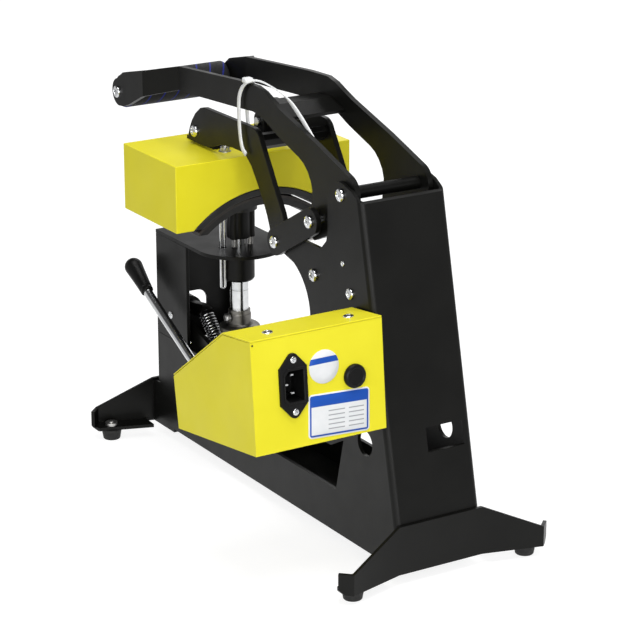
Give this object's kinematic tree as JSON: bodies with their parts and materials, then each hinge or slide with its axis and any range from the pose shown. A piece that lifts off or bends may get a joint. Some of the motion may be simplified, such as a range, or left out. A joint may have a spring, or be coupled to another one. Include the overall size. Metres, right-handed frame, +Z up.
{
  "type": "cap heat press",
  "caption": "Bench cap heat press: toggle-clamp lever, curved heated platen in a box housing, curved lower platen on a post, folded frame with foot bars and a side control box.",
  "frame": {"origin": "on the floor under the middle of the frame, between the two cheeks and midway between the foot bars", "axes": "+Z up, -Y towards the operator and the grip, +X towards the control box"},
  "size_m": [0.254, 0.4495, 0.3562],
  "materials": {
    "black_paint": "satin powder coat",
    "yellow_paint": "semi-gloss powder coat",
    "bright_steel": "polished",
    "zinc_steel": "zinc plated",
    "dark_steel": "oiled",
    "foot_rubber": "matt",
    "grip_foam": "matt",
    "pad_silicone": "matt",
    "platen_aluminium": "dark coated",
    "black_plastic": "moulded",
    "white_plastic": "moulded",
    "label_film": "printed film",
    "display_red": "tinted window",
    "insulation_wool": "felt",
    "element_foil": "polyimide film",
    "board_green": "circuit board"
  },
  "bodies": {
    "frame": {"main_frame": "black_paint", "rear_foot_bar": "black_paint", "front_foot_bar": "black_paint", "rubber_feet": "foot_rubber", "foot_bolts": "zinc_steel", "column_deck": "black_paint", "front_pedestal": "black_paint", "platen_shelf": "black_paint", "shelf_collar": "black_paint", "post_socket": "dark_steel", "post_clamp_screw": "zinc_steel", "frame_screws": "bright_steel", "control_box_body": "yellow_paint", "control_box_lid": "yellow_paint", "box_screws": "bright_steel", "display_window": "display_red", "power_inlet": "black_plastic", "label_plates": "label_film", "electronics": "board_green"},
    "handle": {"handle_plate_left": "black_paint", "handle_plate_right": "black_paint", "handle_cross_tube": "black_paint", "handle_cross_plate": "black_paint", "grip_rod": "zinc_steel", "handle_grip": "grip_foam", "grip_screws": "bright_steel", "handle_pivot_bolts": "bright_steel", "link_pins": "bright_steel", "cable_tie": "white_plastic"},
    "links": {"toggle_link_left": "black_paint", "toggle_link_right": "black_paint", "link_bolts": "bright_steel"},
    "arm": {"heater_arm_left": "black_paint", "heater_arm_right": "black_paint", "heater_arm_web": "black_paint", "arm_pivot_rod": "bright_steel", "arm_cross_rod": "zinc_steel", "heater_hinge_bolts": "bright_steel"},
    "heater": {"heater_hanger": "black_paint", "heater_housing": "yellow_paint", "heater_platen": "platen_aluminium", "heating_element": "element_foil", "insulation_pad": "insulation_wool", "heater_nuts": "zinc_steel"},
    "platen": {"platen_post": "bright_steel", "platen_hub": "black_paint", "platen_studs": "zinc_steel", "guide_rod": "bright_steel", "lower_platen": "platen_aluminium", "silicone_pad": "pad_silicone"},
    "cap_lever": {"lever_shaft": "zinc_steel", "lever_rod": "bright_steel", "lever_knob": "black_plastic", "cap_hook_arm": "black_paint", "lever_spring": "bright_steel"},
    "set_key": {"set_button": "black_plastic"},
    "up_key": {"up_button": "black_plastic"},
    "down_key": {"down_button": "black_plastic"},
    "rocker": {"power_switch": "black_plastic"},
    "fuse": {"fuse_cap": "black_plastic"}
  },
  "joints": [
    {"name": "handle_pivot", "type": "hinge", "parent": "frame", "child": "handle", "pos_m": [0, 0.114, 0.293], "axis": [-1, 0, 0], "range_deg": [0, 55]},
    {"name": "link_pivot", "type": "hinge", "parent": "handle", "child": "links", "pos_m": [0, 0.076, 0.263], "axis": [-1, 0, 0], "range_deg": [-83.8, 0]},
    {"name": "arm_pivot", "type": "hinge", "parent": "frame", "child": "arm", "pos_m": [0, 0.075, 0.2185], "axis": [-1, 0, 0], "range_deg": [0, 27.4]},
    {"name": "heater_swivel", "type": "hinge", "parent": "arm", "child": "heater", "pos_m": [0, -0.12, 0.292], "axis": [-1, 0, 0], "range_deg": [-0.6, 0.6]},
    {"name": "platen_height", "type": "slide", "parent": "frame", "child": "platen", "axis": [0, 0, 1], "range_m": [-0.006, 0]},
    {"name": "cap_lever_pivot", "type": "hinge", "parent": "frame", "child": "cap_lever", "pos_m": [0.052, -0.075, 0.084], "axis": [1, 0, 0], "range_deg": [0, 18], "stiffness_Nm_per_rad": 2, "springref_deg": -14.32, "deforming": ["lever_spring"]},
    {"name": "set_key_travel", "type": "slide", "parent": "frame", "child": "set_key", "axis": [0, 0.5882, -0.8087], "range_m": [0, 0.0015], "stiffness_N_per_m": 250},
    {"name": "up_key_travel", "type": "slide", "parent": "frame", "child": "up_key", "axis": [0, 0.5882, -0.8087], "range_m": [0, 0.0015], "stiffness_N_per_m": 250},
    {"name": "down_key_travel", "type": "slide", "parent": "frame", "child": "down_key", "axis": [0, 0.5882, -0.8087], "range_m": [0, 0.0015], "stiffness_N_per_m": 250},
    {"name": "rocker_tilt", "type": "hinge", "parent": "frame", "child": "rocker", "pos_m": [0.065, 0.06832, 0.16123], "axis": [1, 0, 0], "range_deg": [0, 10]},
    {"name": "fuse_turn", "type": "hinge", "parent": "frame", "child": "fuse", "pos_m": [0.068, 0.1788, 0.1722], "axis": [0, 0.9959, 0.0905], "range_deg": [0, 90]}
  ],
  "couplings": [
    {"joint": "arm_pivot", "follows": "handle_pivot", "ratio": 0.49611},
    {"joint": "link_pivot", "follows": "handle_pivot", "ratio": -1.5195}
  ]
}
